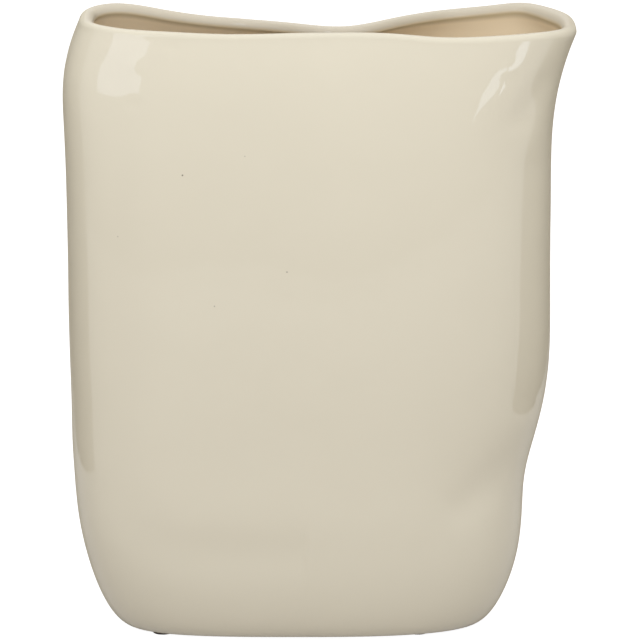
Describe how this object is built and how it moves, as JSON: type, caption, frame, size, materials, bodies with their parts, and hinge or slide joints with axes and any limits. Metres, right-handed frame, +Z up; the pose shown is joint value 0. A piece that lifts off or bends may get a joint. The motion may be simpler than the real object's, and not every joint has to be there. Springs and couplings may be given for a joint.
{
  "type": "pillow vase",
  "caption": "Tall flat-sided vase with soft pillow-like walls, a waved and pinched mouth with a round lip, and felt pads under its foot.",
  "frame": {"origin": "on the surface that the vase stands on, under the middle of its overall box", "axes": "+Z up, +X along the wide side towards the spout, -Y towards the front"},
  "size_m": [0.3101, 0.1272, 0.3803],
  "materials": {
    "glaze": "glossy warm white glaze",
    "felt": "dense dark brown felt",
    "adhesive": "soft acrylic adhesive"
  },
  "bodies": {
    "root": {"vase_body": "glaze", "felt_pad_front_left": "felt", "felt_pad_front_right": "felt", "felt_pad_rear_left": "felt", "felt_pad_rear_right": "felt", "adhesive_disc_front_left": "adhesive", "adhesive_disc_front_right": "adhesive", "adhesive_disc_rear_left": "adhesive", "adhesive_disc_rear_right": "adhesive"}
  },
  "joints": []
}
